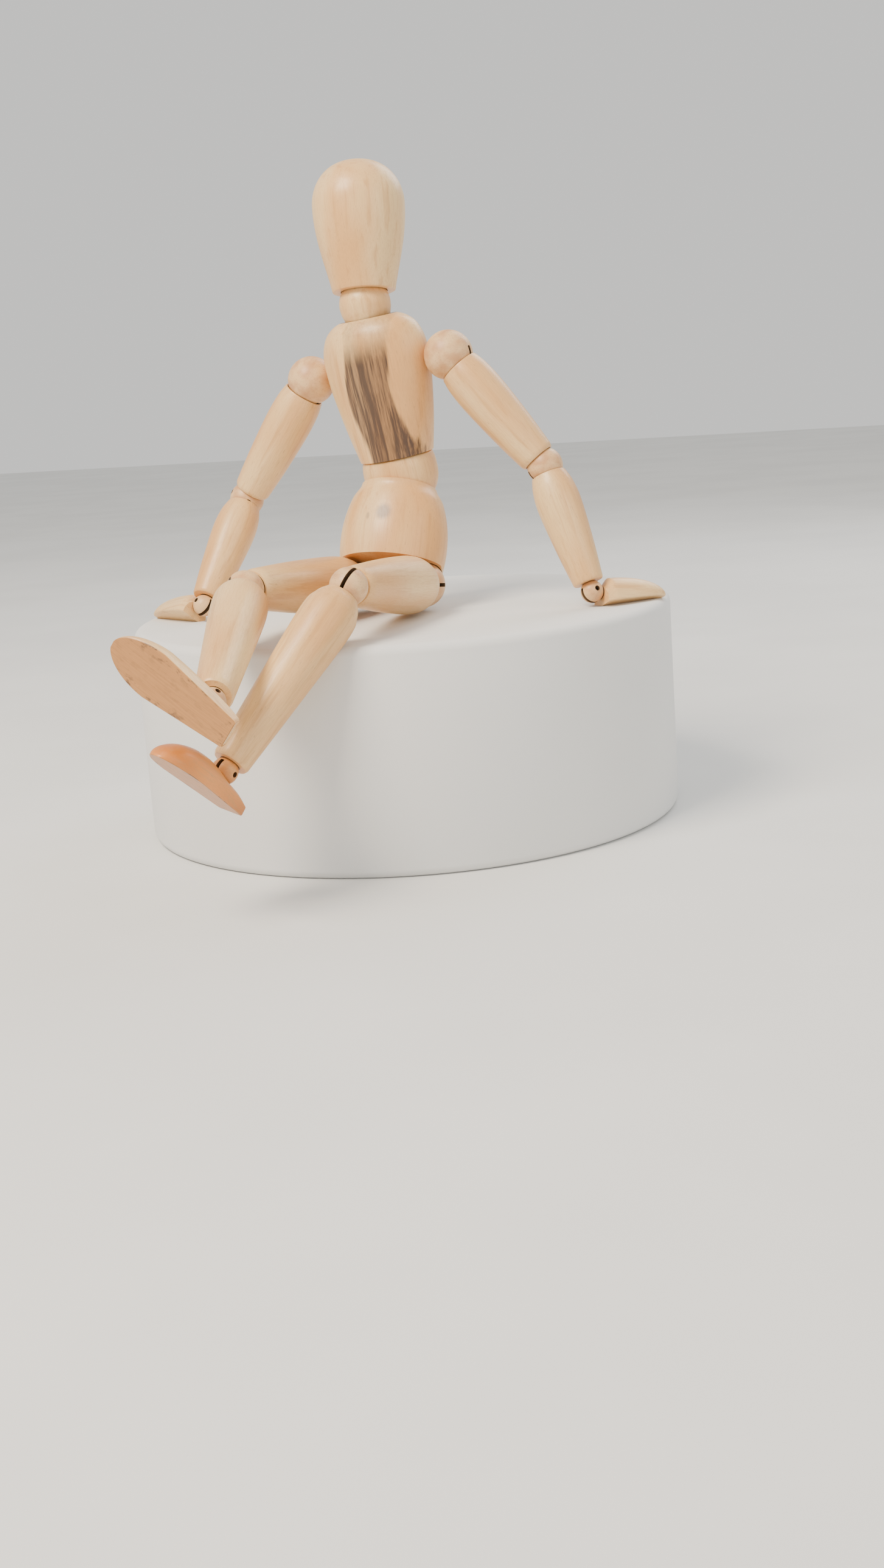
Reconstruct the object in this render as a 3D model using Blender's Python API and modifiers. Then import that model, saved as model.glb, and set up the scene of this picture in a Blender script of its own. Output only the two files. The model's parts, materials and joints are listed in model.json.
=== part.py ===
"""A jointed wooden artist mannequin of the 12-inch class, seated on the edge of a flat seat.

The origin is on the seat, straight under the middle of the hip line. +Z is up, the pelvis faces -Y
and the mannequin's left is +X. Sizes are in millimetres and turns in degrees. Every joint is an
empty that turns about one of its own axes, and the pieces hang from these empties.
"""

import math
from collections import namedtuple

import bmesh
import bpy
from mathutils import Matrix, Vector

MM = 0.001

# Skeleton: the distances between joint centres, and the ends of the figure.
HIP_HEIGHT = 9.6
HIP_HALF = 12.5
PELVIS_TOP = 35.0
PELVIS_TOP_TO_WAIST = 5.6
WAIST_TO_CHEST = 6.5
CHEST_LENGTH = 48.4
SHOULDER_DROP = 17.4
SHOULDER_HALF = 28.0
CHEST_TO_NECK = 4.6
NECK_TO_HEAD = 4.4
HEAD_LENGTH = 44.5
UPPER_ARM_LENGTH = 50.5
FOREARM_LENGTH = 46.5
HAND_LENGTH = 29.0
THIGH_LENGTH = 73.0
SHIN_LENGTH = 72.5
SOLE_LENGTH = 43.0
HEEL_BACK = 11.5
ANKLE_HEIGHT = 9.0

# Girths.
HEAD_RADIUS = 16.1
HEAD_RIM_RADIUS = 11.0
HEAD_WIDEST = 0.66
NECK_RADIUS = 9.0
NECK_FOOT_RADIUS = 8.0
CHEST_WIDTH = 39.4
CHEST_DEPTH = 27.0
WAIST_RIM_RADIUS = 13.2
ABDOMEN_RADIUS = 13.3
PELVIS_WIDTH = 38.6
PELVIS_DEPTH = 34.0
UPPER_ARM_RADIUS = 8.3
FOREARM_RADIUS = 7.7
THIGH_RADIUS = 10.0
SHIN_RADIUS = 9.0
HAND_WIDTH = 11.6
HAND_DEPTH = 9.3
FOOT_WIDTH = 16.1
HEEL_WIDTH = 9.7

# Fits.
GAP = 0.3
WIRE_RADIUS = 0.35
PIN_RADIUS = 0.6
PIN_SHARE = 0.6
SLOT_WIDTH = 2 * (WIRE_RADIUS + GAP)
EYE_RADIUS = PIN_RADIUS + GAP + WIRE_RADIUS
EYE_OUTSIDE = EYE_RADIUS + WIRE_RADIUS
COIL_RADIUS = 1.4
SPRING_BORE = COIL_RADIUS + WIRE_RADIUS + GAP
WIRE_BORE = WIRE_RADIUS + GAP + 0.1
TAIL_GAP = EYE_OUTSIDE + 2 * GAP

# How far from the ball's centre each limb's end ring lies, and how wide the ring is.
Ball = namedtuple("Ball", "radius ring_above lip_above ring_below lip_below")
SHOULDER = Ball(8.5, 0, 0, 5.6, 0.45)
ELBOW = Ball(6.2, 3.4, 0.5, 3.4, 0.5)
WRIST = Ball(3.9, 3.3, 2.5, 3.3, 0.8)
HIP = Ball(8.0, 0, 0, 4.6, 0.7)
KNEE = Ball(6.2, 3.9, 0.8, 3.9, 0.6)
ANKLE = Ball(4.2, 2.9, 2.1, 2.6, 0.8)

# Rest pose.
PELVIS_PITCH, PELVIS_ROLL = -22, 2
WAIST_BEND, WAIST_LEAN, CHEST_TWIST = 28, -8, -6
NECK_TURN, HEAD_NOD, HEAD_LEAN = 1, -14, 2
Limb = namedtuple("Limb", "swing out mid_turn mid_bend end_turn end_bend")
ARMS = {"left": Limb(1, -33, -47, -21, 20, 75), "right": Limb(-13, -41, -38, -46, -22, 91)}
LEGS = {"left": Limb(-75, -3, 24, 56, -19, 10), "right": Limb(-74, -6, 42, 34, 12, -23)}
SIDES = {"left": 1, "right": -1}

# Mesh steps.
TURNED_STEPS = 14
LOFT_STEPS = 20
BALL_STEPS = 14
BORE_STEPS = 9
COIL_STEPS = 6

AXES = {"X": Vector((1, 0, 0)), "Y": Vector((0, 1, 0)), "Z": Vector((0, 0, 1))}

scene = bpy.context.scene
for old in list(bpy.data.objects):
    bpy.data.objects.remove(old)
pieces = bpy.data.collections.new("artist_mannequin")
cutters = bpy.data.collections.new("cutters")
scene.collection.children.link(pieces)
scene.collection.children.link(cutters)


# ---- Materials ----


def finish(name, colour, roughness, metallic=0.0):
    """A plain Principled material."""
    material = bpy.data.materials.new(name)
    material.use_nodes = True
    shader = material.node_tree.nodes["Principled BSDF"]
    shader.inputs["Base Color"].default_value = (*colour, 1)
    shader.inputs["Roughness"].default_value = roughness
    shader.inputs["Metallic"].default_value = metallic
    return material


PALE_WOOD = finish("varnished_limewood", (0.72, 0.53, 0.34), 0.45)
BALL_WOOD = finish("end_grain_ball_wood", (0.62, 0.45, 0.31), 0.55)
STEEL = finish("spring_steel", (0.55, 0.55, 0.54), 0.35, 1.0)


# ---- Placing ----


def joint(name, parent, place=(0, 0, 0), axis="X", turn=0):
    """An empty at a joint's centre, turned about one axis by its rest angle."""
    empty = bpy.data.objects.new(name, None)
    empty.empty_display_size = 4 * MM
    empty.location = Vector(place) * MM
    empty.rotation_mode = "QUATERNION"
    empty.rotation_quaternion = Matrix.Rotation(math.radians(turn), 3, AXES[axis]).to_quaternion()
    empty.parent = parent
    pieces.objects.link(empty)
    return empty


def put(name, data, parent, material=None, collection=pieces):
    """An object in its parent's frame."""
    shape = bpy.data.objects.new(name, data)
    shape.parent = parent
    collection.objects.link(shape)
    if material:
        data.materials.append(material)
    return shape


def mesh_of(name, bm, smooth_angle=40):
    """The finished mesh of a bmesh that was built in millimetres."""
    bmesh.ops.scale(bm, vec=(MM, MM, MM), verts=bm.verts)
    data = bpy.data.meshes.new(name)
    bm.to_mesh(data)
    bm.free()
    data.shade_smooth()
    data.set_sharp_from_angle(angle=math.radians(smooth_angle))
    return data


# ---- Outlines ----


def arc(radius, centre, start, end, steps):
    """Points (r, z) on a circle about (0, centre), from one angle above the horizontal to another."""
    points = []
    for i in range(steps + 1):
        angle = math.radians(start + (end - start) * i / steps)
        points.append((radius * math.cos(angle), centre + radius * math.sin(angle)))
    return points


def slope_at(radius, width):
    """The angle above the horizontal at which a circle of this radius is this far from its axis."""
    return math.degrees(math.acos(width / radius))


def curve_through(points, steps):
    """A smooth run through a few (position, radius) points: a Catmull-Rom spline."""
    ends = [points[0], *points, points[-1]]
    out = []
    for i in range(1, len(points)):
        before, a, b, after = (Vector(p) for p in ends[i - 1 : i + 3])
        for k in range(steps):
            t = k / steps
            out.append(
                a
                + 0.5 * t * (b - before)
                + t * t * (before - 2.5 * a + 2 * b - 0.5 * after)
                + t * t * t * (0.5 * (after - before) + 1.5 * (a - b))
            )
    out.append(Vector(points[-1]))
    return [(p.x, p.y) for p in out]


def turned(name, outline, parent, material=None, collection=pieces, closed=True, steps=TURNED_STEPS):
    """A turned piece: the outline (r, z), running down its outer side, screwed about local Z."""
    data = bpy.data.meshes.new(name)
    points = [(r * MM, 0, z * MM) for r, z in outline]
    edges = [(i, i + 1) for i in range(len(points) - 1)]
    if closed:
        edges.append((len(points) - 1, 0))
    data.from_pydata(points, edges, [])
    shape = put(name, data, parent, material, collection)
    screw = shape.modifiers.new("turned", "SCREW")
    screw.axis = "Z"
    screw.angle = math.tau
    screw.steps = screw.render_steps = steps
    screw.use_merge_vertices = True
    screw.merge_threshold = 1e-6
    screw.use_smooth_shade = True
    return shape


def loft(name, rings, parent, material):
    """A closed skin over rings of points that all have the same count."""
    bm = bmesh.new()
    loops = [[bm.verts.new(p) for p in ring] for ring in rings]
    for low, high in zip(loops, loops[1:]):
        for i in range(len(low)):
            j = (i + 1) % len(low)
            bm.faces.new((low[i], low[j], high[j], high[i]))
    bm.faces.new(loops[0][::-1])
    bm.faces.new(loops[-1])
    bmesh.ops.recalc_face_normals(bm, faces=bm.faces)
    return put(name, mesh_of(name, bm), parent, material)


def oval(half_width, half_depth, z, steps=LOFT_STEPS):
    """A level ellipse."""
    ring = []
    for i in range(steps):
        angle = math.tau * i / steps
        ring.append((half_width * math.cos(angle), half_depth * math.sin(angle), z))
    return ring


# ---- Cutters ----


def hide(shape):
    shape.hide_render = True
    shape.display_type = "WIRE"
    return shape


def combine(shape, cutter, operation="DIFFERENCE"):
    """Cuts a piece with a cutter, or joins a helper to it."""
    boolean = shape.modifiers.new(cutter.name, "BOOLEAN")
    boolean.operation = operation
    boolean.object = hide(cutter)


def rod_mesh(name, radius, low, high, axis="Z", steps=BORE_STEPS):
    """A round rod about one axis, from one position on it to another."""
    bm = bmesh.new()
    bmesh.ops.create_cone(
        bm, cap_ends=True, segments=steps, radius1=radius, radius2=radius, depth=high - low
    )
    bmesh.ops.translate(bm, verts=bm.verts, vec=(0, 0, (low + high) / 2))
    bmesh.ops.rotate(bm, verts=bm.verts, matrix=AXES["Z"].rotation_difference(AXES[axis]).to_matrix())
    return mesh_of(name, bm)


def rod_cutter(shape, label, parent, radius, low, high, axis="Z", steps=BORE_STEPS):
    name = f"{shape.name}_{label}"
    combine(shape, put(name, rod_mesh(name, radius, low, high, axis, steps), parent, None, cutters))


def ball_mesh(name, radius, centre=(0, 0, 0), steps=BALL_STEPS):
    bm = bmesh.new()
    bmesh.ops.create_uvsphere(bm, u_segments=steps, v_segments=steps // 2 + 2, radius=radius)
    bmesh.ops.translate(bm, verts=bm.verts, vec=centre)
    return mesh_of(name, bm)


def ball_cutter(shape, label, parent, radius, centre=(0, 0, 0), steps=BALL_STEPS):
    name = f"{shape.name}_{label}"
    combine(shape, put(name, ball_mesh(name, radius, centre, steps), parent, None, cutters))


def box_cutter(shape, label, parent, low, high):
    """A box between two corners."""
    name = f"{shape.name}_{label}"
    low, high = Vector(low), Vector(high)
    bm = bmesh.new()
    bmesh.ops.create_cube(bm, size=1)
    bmesh.ops.scale(bm, vec=high - low, verts=bm.verts)
    bmesh.ops.translate(bm, verts=bm.verts, vec=(low + high) / 2)
    combine(shape, put(name, mesh_of(name, bm), parent, None, cutters))


# ---- Wire ----


def wire(name, points, parent, radius=WIRE_RADIUS):
    """A round wire through the points."""
    data = bpy.data.curves.new(name, "CURVE")
    data.dimensions = "3D"
    data.bevel_depth = radius * MM
    data.bevel_resolution = 0
    data.use_fill_caps = True
    spline = data.splines.new("POLY")
    spline.points.add(len(points) - 1)
    for slot, point in zip(spline.points, points):
        slot.co = (*(Vector(point) * MM), 1)
    return put(name, data, parent, STEEL)


def eye(pin_axis):
    """A nearly closed eye round a pin through the origin, ending in a stem that leaves down -Z."""
    side = AXES["X"] if pin_axis == "Y" else AXES["Y"]
    points = []
    for i in range(9):
        angle = math.radians(-50 + 40 * i)
        points.append(EYE_RADIUS * (math.cos(angle) * side + math.sin(angle) * AXES["Z"]))
    points[-1] = Vector((0, 0, -EYE_RADIUS))
    return points


def coil(low, high, turns, radius=COIL_RADIUS, line=None):
    """A helix about local Z, or about a centre line that is given as a function of height."""
    points = []
    count = turns * COIL_STEPS
    for i in range(count + 1):
        angle = math.tau * i / COIL_STEPS
        height = low + (high - low) * i / count
        across = Vector((radius * math.cos(angle), radius * math.sin(angle), 0))
        points.append((line(height) if line else Vector((0, 0, height))) + across)
    return points


def limb_spring(name, parent, length, pin_axis):
    """One wire: an eye round the upper ball's pin, a coil in the limb, a tail into the lower ball."""
    top, bottom = -0.34 * length, -0.62 * length
    points = eye(pin_axis)
    points.append(Vector((0, 0, top + 2)))
    points += coil(top, bottom, 3)
    points.append(Vector((0, 0, bottom - 2)))
    points.append(Vector((0, 0, TAIL_GAP - length)))
    wire(name, points, parent)


def hook(name, parent, depth):
    """A wire eye with a straight stem driven into the wood."""
    wire(name, [*eye("X"), Vector((0, 0, -depth))], parent)


# ---- Joint balls ----


def ball(name, parent, size, pin_axis, wire_side):
    """A slotted ball with its cross pin. The wire from the piece above comes in along wire_side."""
    shape = put(name, ball_mesh(name, size.radius), parent, BALL_WOOD)
    reach = 1.3 * size.radius
    head = EYE_OUTSIDE + GAP
    if pin_axis == "X":
        low, high = (-SLOT_WIDTH / 2, -reach, -reach), (SLOT_WIDTH / 2, reach, head)
        rod_cutter(shape, "wire_hole", parent, WIRE_BORE, head - 1, reach, "Z")
    else:
        outward = -wire_side
        low = (min(wire_side * head, outward * reach), -SLOT_WIDTH / 2, -reach)
        high = (max(wire_side * head, outward * reach), SLOT_WIDTH / 2, head)
        hole = sorted((wire_side * (head - 1), wire_side * reach))
        rod_cutter(shape, "wire_hole", parent, WIRE_BORE, *hole, "X")
    box_cutter(shape, "slot", parent, low, high)
    half = PIN_SHARE * size.radius
    # The pin is driven in from the back or the right, and only a small ball's hole runs right through.
    stop = reach if size.radius < 5 else half + GAP
    pin_hole = (-reach, stop) if pin_axis == "X" else (-stop, reach)
    rod_cutter(shape, "pin_hole", parent, PIN_RADIUS + GAP, *pin_hole, pin_axis)
    pin = name.replace("_ball", "_pin")
    put(pin, rod_mesh(pin, PIN_RADIUS, -half, half, pin_axis, 8), parent, STEEL)


# ---- Turned limbs ----


def ring_radius(size, below):
    """The outer radius of a limb's end ring: the socket's mouth and a lip round it."""
    distance, lip = (size.ring_below, size.lip_below) if below else (size.ring_above, size.lip_above)
    return math.sqrt((size.radius + GAP) ** 2 - distance**2) + lip


def limb(name, parent, length, upper, lower, belly):
    """A turned limb, bored for its spring, with a socket for a ball at each end. belly lists the
    radius at shares of the way from the upper end ring to the lower one."""
    top, bottom = -upper.ring_below, lower.ring_above - length
    outer = [(0, ring_radius(upper, True)), *belly, (1, ring_radius(lower, False))]
    outline = [(r, top + share * (bottom - top)) for share, r in curve_through(outer, 2)]
    seat = lower.radius + GAP
    outline += arc(seat, -length, math.degrees(math.asin(lower.ring_above / seat)),
                   slope_at(seat, SPRING_BORE), 2)
    seat = upper.radius + GAP
    outline += arc(seat, 0, -slope_at(seat, SPRING_BORE),
                   -math.degrees(math.asin(upper.ring_below / seat)), 3)
    return turned(name, outline, parent, PALE_WOOD)


# ---- Trunk ----


def make_pelvis(frame):
    """An egg with a round socket on top, a raised underside over the thighs and a web between
    the hip balls."""
    middle, tall = 14.0, 30.0
    low = -8.0
    rings = []
    for i in range(9):
        z = low + (PELVIS_TOP - low) * i / 8
        share = math.sqrt(1 - ((z - middle) / tall) ** 2)
        rings.append(oval(PELVIS_WIDTH / 2 * share, PELVIS_DEPTH / 2 * share, z))
    top_share = 2 * ABDOMEN_RADIUS / PELVIS_WIDTH
    rings[-1] = oval(PELVIS_WIDTH / 2 * top_share, ABDOMEN_RADIUS, PELVIS_TOP)
    shape = loft("pelvis", rings, frame, PALE_WOOD)
    # The flat underside lies just over the raised thighs, whose axes drop a little on their way
    # forward, and it falls away behind them.
    edge = PELVIS_DEPTH / 2 - 5.0
    underside = THIGH_RADIUS - edge * math.tan(math.radians(90 + LEGS["left"].swing))
    front_rise, back_fall = 0.03, 0.65
    far = 40.0
    bm = bmesh.new()
    side = [
        (-far, underside + front_rise * far),
        (-far, -far),
        (far, -far),
        (far, underside - back_fall * far),
        (0, underside),
    ]
    face = bm.faces.new([bm.verts.new((-far, y, z)) for y, z in side])
    grown = bmesh.ops.extrude_face_region(bm, geom=[face])["geom"]
    moved = [v for v in grown if isinstance(v, bmesh.types.BMVert)]
    bmesh.ops.translate(bm, verts=moved, vec=(2 * far, 0, 0))
    bmesh.ops.recalc_face_normals(bm, faces=bm.faces)
    combine(shape, put("pelvis_underside", mesh_of("pelvis_underside", bm), frame, None, cutters))
    web_half = HIP_HALF - HIP.radius - 4 * GAP
    web_frame = joint("web_middle", frame, (0, 0, 1.5))
    web_mesh = rod_mesh("pelvis_web", 6.6, -web_half, web_half, "X", 16)
    web = put("pelvis_web", web_mesh, web_frame, None, cutters)
    combine(shape, web, "UNION")
    for name, sign in SIDES.items():
        seat = joint(f"{name}_hip_seat", frame, (sign * HIP_HALF, 0, 0))
        ball_cutter(shape, f"{name}_seat", seat, HIP.radius + GAP)
    rod_cutter(shape, "cross_bore", frame, SPRING_BORE, -10, 10, "X")
    waist = joint("waist_seat", frame, (0, 0, PELVIS_TOP + PELVIS_TOP_TO_WAIST))
    ball_cutter(shape, "waist_socket", waist, ABDOMEN_RADIUS + GAP, steps=LOFT_STEPS)
    mouth, deep = 9.3, 27.0
    outline = [(0, -8), (mouth, -8), (SPRING_BORE, -deep), (0, -deep)]
    combine(shape, turned("pelvis_spring_bore", outline, waist, None, cutters, False, 12))
    return waist


def make_abdomen(frame):
    """A barrel: a round underside that rocks in the pelvis, and a low dome that turns in the chest."""
    seam = WAIST_TO_CHEST - GAP
    seam_radius = WAIST_RIM_RADIUS - 0.5
    outline = dome(seam_radius, seam)[::-1]
    outline += [(ABDOMEN_RADIUS - 0.15, seam / 2)]
    outline += arc(ABDOMEN_RADIUS, 0, 0, -slope_at(ABDOMEN_RADIUS, SPRING_BORE + GAP), 5)
    return turned("abdomen", outline, frame, PALE_WOOD, steps=LOFT_STEPS)


def dome(rim_radius, height, rise=3.0, inner=None):
    """A shallow dome's outline, from its rim up to the spring's bore."""
    radius = (rim_radius**2 + rise**2) / (2 * rise)
    centre = height + rise - radius
    inner = SPRING_BORE + GAP if inner is None else inner
    return arc(radius, centre, slope_at(radius, rim_radius), slope_at(radius, inner), 3)


def make_chest(frame):
    """A tapering oval block with rounded shoulders, from its flat lower rim at z = 0."""
    half_width, half_depth = CHEST_WIDTH / 2, CHEST_DEPTH / 2
    # Height from the top as a share of the chest's length, then shares of its half width and depth.
    stations = [
        (1.0, WAIST_RIM_RADIUS / half_width, WAIST_RIM_RADIUS / half_depth),
        (0.80, 0.81, 0.97),
        (0.63, 0.90, 0.98),
        (0.46, 0.97, 1.0),
        (0.32, 1.0, 1.0),
        (0.21, 0.99, 0.97),
        (0.13, 0.93, 0.92),
        (0.07, 0.84, 0.84),
        (0.025, 0.70, 0.72),
        (0.0, 0.55, 0.62),
    ]
    rings = [
        oval(half_width * w, half_depth * d, CHEST_LENGTH * (1 - drop)) for drop, w, d in stations
    ]
    shape = loft("chest", rings, frame, PALE_WOOD)
    seam_radius = WAIST_RIM_RADIUS - 0.5
    outline = [(0, -2), (seam_radius, -2), *dome(seam_radius, 0, inner=0.0)]
    combine(shape, turned("chest_waist_socket", outline[::-1], frame, None, cutters, False))
    rod_cutter(shape, "waist_bore", frame, SPRING_BORE, 1, 20)
    top = joint("chest_top", frame, (0, 0, CHEST_LENGTH))
    outline = [(0, 2), (NECK_FOOT_RADIUS + GAP, 2), (NECK_FOOT_RADIUS + GAP, -2.8), (0, -2.8)]
    combine(shape, turned("chest_neck_socket", outline, top, None, cutters, False, 16))
    rod_cutter(shape, "neck_bore", top, SPRING_BORE, -12, 1)
    shoulders = joint("shoulder_line", top, (0, 0, -SHOULDER_DROP))
    rod_cutter(shape, "cross_bore", shoulders, SPRING_BORE, -CHEST_WIDTH, CHEST_WIDTH, "X")
    for name, sign in SIDES.items():
        seat = joint(f"{name}_shoulder_seat", shoulders, (sign * SHOULDER_HALF, 0, 0))
        ball_cutter(shape, f"{name}_seat", seat, SHOULDER.radius + GAP)
    return top, shoulders


def make_neck(frame):
    """A short barrel: its round top rocks in the head, its foot turns in the chest."""
    foot = -CHEST_TO_NECK
    outline = arc(NECK_RADIUS, 0, slope_at(NECK_RADIUS, SPRING_BORE), 0, 5)
    outline += [
        (NECK_RADIUS * 0.97, foot * 0.5),
        (NECK_FOOT_RADIUS, foot),
        (NECK_FOOT_RADIUS - 0.6, foot - 2.5),
        (SPRING_BORE, foot - 2.5),
    ]
    turned("neck", outline, frame, PALE_WOOD, steps=16)


def make_head(frame):
    """An egg, widest in its upper part and cut flat below round its socket."""
    widest = HEAD_WIDEST * HEAD_LENGTH
    outline = []
    for i in range(7):
        angle = math.radians(90 * i / 6)
        outline.append((HEAD_RADIUS * math.sin(angle) ** 0.85, widest + (HEAD_LENGTH - widest) * math.cos(angle)))
    for i in range(1, 7):
        share = 1 - i / 6
        swell = math.sin(math.radians(90) * share) ** 1.2
        outline.append((HEAD_RIM_RADIUS + (HEAD_RADIUS - HEAD_RIM_RADIUS) * swell, widest * share))
    seat = NECK_RADIUS + GAP
    outline += arc(seat, -NECK_TO_HEAD, math.degrees(math.asin(NECK_TO_HEAD / seat)), 45, 3)
    outline += [(SPRING_BORE, 20), (0, 20)]
    base = joint("head_rim", frame, (0, 0, NECK_TO_HEAD))
    turned("head", outline, base, PALE_WOOD, closed=False, steps=LOFT_STEPS)


def bent_spring(name, frame, turn, length_here, length_there, towards):
    """A long coil that is straight along this frame's Z and bends over to the turned frame's Z."""
    near_axis = Vector((0, 0, towards))
    far_axis = turn @ near_axis
    leaves = 0.40 * length_there
    ends = [
        near_axis * leaves,
        near_axis * 0.62 * length_there,
        far_axis * 0.70 * length_there,
        far_axis * length_there,
    ]

    def line(height):
        along = height * towards
        if along <= leaves:
            return Vector((0, 0, height))
        t = (along - leaves) / (length_there - leaves)
        a, b, c, d = ends
        return (1 - t) ** 3 * a + 3 * t * (1 - t) ** 2 * b + 3 * t * t * (1 - t) * c + t**3 * d

    points = coil(-towards * length_here, towards * length_there, 6, COIL_RADIUS, line)
    wire(name, points, frame)


def cross_spring(name, frame, half, coil_half):
    """A straight spring from ball to ball across the trunk."""
    turn = AXES["Z"].rotation_difference(AXES["X"]).to_matrix()
    points = [Vector((0, 0, -half)), Vector((0, 0, -coil_half - 1.5))]
    points += coil(-coil_half, coil_half, 3)
    points += [Vector((0, 0, coil_half + 1.5)), Vector((0, 0, half))]
    wire(name, [turn @ p for p in points], frame)


# ---- Hands and feet ----


def make_hand(name, frame):
    """Half an egg: a flat palm towards -Y, a domed back, a chamfered end round the wrist ball."""
    start, tip = WRIST.ring_below, HAND_LENGTH
    chamfer = 3.2
    palm_near, palm_far = 4.9, 1.0
    rings = []
    stations = [0.0, 0.12, 0.28, 0.45, 0.62, 0.78, 0.90, 0.975]
    for share in stations:
        along = start + (tip - start) * share
        girth = math.sqrt(1 - share**2)
        palm = -palm_near + (palm_near - palm_far) * share
        back = palm + HAND_DEPTH * girth
        if share < 0.12:
            back -= chamfer
        half = HAND_WIDTH / 2 * girth**0.9 * (0.88 if share < 0.12 else 1)
        ring = [(half * 0.96, palm, -along)]
        for i in range(9):
            angle = math.radians(180 * i / 8)
            ring.append((half * math.cos(angle), palm + 0.8 + (back - palm - 0.8) * math.sin(angle), -along))
        ring.append((-half * 0.96, palm, -along))
        rings.append(ring)
    shape = loft(name, rings, frame, PALE_WOOD)
    ball_cutter(shape, "socket", frame, WRIST.radius + GAP)
    rod_cutter(shape, "hook_bore", frame, WIRE_BORE, -10.5, 0)
    hook(f"{name}_hook", frame, 10)


def make_foot(name, frame):
    """A flat sole with a round toe and straight sides that close in to a square heel, and a domed
    instep hollowed for the ankle ball."""
    heel = HEEL_BACK
    sole = -ANKLE_HEIGHT
    widest = 0.36
    rings = []
    # Share of the sole's length from the toe, the top's height over the sole, the side's height.
    stations = [
        (0.012, 1.6, 0.8),
        (0.07, 4.6, 1.0),
        (0.16, 6.8, 1.2),
        (0.27, 8.2, 1.4),
        (widest, 8.7, 1.6),
        (0.48, 8.7, 2.2),
        (0.60, 7.8, 3.0),
        (0.72, 6.6, 3.6),
        (0.86, 5.6, 3.6),
        (1.0, 3.6, 2.6),
    ]
    for share, top, side in stations:
        if share < widest:
            half = FOOT_WIDTH / 2 * math.sqrt(1 - (1 - share / widest) ** 2)
        else:
            half = FOOT_WIDTH / 2 + (HEEL_WIDTH - FOOT_WIDTH) / 2 * (share - widest) / (1 - widest)
        y = heel - SOLE_LENGTH * (1 - share)
        ring = [(half, y, sole)]
        for i in range(9):
            angle = math.radians(180 * i / 8)
            ring.append((half * math.cos(angle), y, sole + side + (top - side) * math.sin(angle)))
        ring.append((-half, y, sole))
        rings.append(ring)
    shape = loft(name, rings, frame, PALE_WOOD)
    ball_cutter(shape, "socket", frame, ANKLE.radius + GAP)
    rod_cutter(shape, "hook_bore", frame, WIRE_BORE, -7.5, 0)
    hook(f"{name}_hook", frame, 7.2)


# ---- The figure ----


def make_arm(side, sign, shoulders):
    """Shoulder, elbow and wrist, each a ball that turns in the piece above and hinges the one below."""
    pose = ARMS[side]
    place = (sign * SHOULDER_HALF, 0, 0)
    swing = joint(f"{side}_shoulder_swing", shoulders, place, "X", pose.swing)
    ball(f"{side}_shoulder_ball", swing, SHOULDER, "Y", -sign)
    upper = joint(f"{side}_arm_raise", swing, (0, 0, 0), "Y", sign * pose.out)
    limb(f"{side}_upper_arm", upper, UPPER_ARM_LENGTH, SHOULDER, ELBOW,
         [(0.12, 0.97 * UPPER_ARM_RADIUS), (0.32, UPPER_ARM_RADIUS), (0.68, 0.91 * UPPER_ARM_RADIUS)])
    limb_spring(f"{side}_upper_arm_spring", upper, UPPER_ARM_LENGTH, "Y")
    turn = joint(f"{side}_elbow_swivel", upper, (0, 0, -UPPER_ARM_LENGTH), "Z", sign * pose.mid_turn)
    ball(f"{side}_elbow_ball", turn, ELBOW, "X", 1)
    fore = joint(f"{side}_elbow_hinge", turn, (0, 0, 0), "X", pose.mid_bend)
    limb(f"{side}_forearm", fore, FOREARM_LENGTH, ELBOW, WRIST,
         [(0.12, 0.94 * FOREARM_RADIUS), (0.30, FOREARM_RADIUS), (0.66, 0.87 * FOREARM_RADIUS)])
    limb_spring(f"{side}_forearm_spring", fore, FOREARM_LENGTH, "X")
    turn = joint(f"{side}_wrist_swivel", fore, (0, 0, -FOREARM_LENGTH), "Z", sign * pose.end_turn)
    ball(f"{side}_wrist_ball", turn, WRIST, "X", 1)
    make_hand(f"{side}_hand", joint(f"{side}_wrist_hinge", turn, (0, 0, 0), "X", pose.end_bend))


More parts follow.
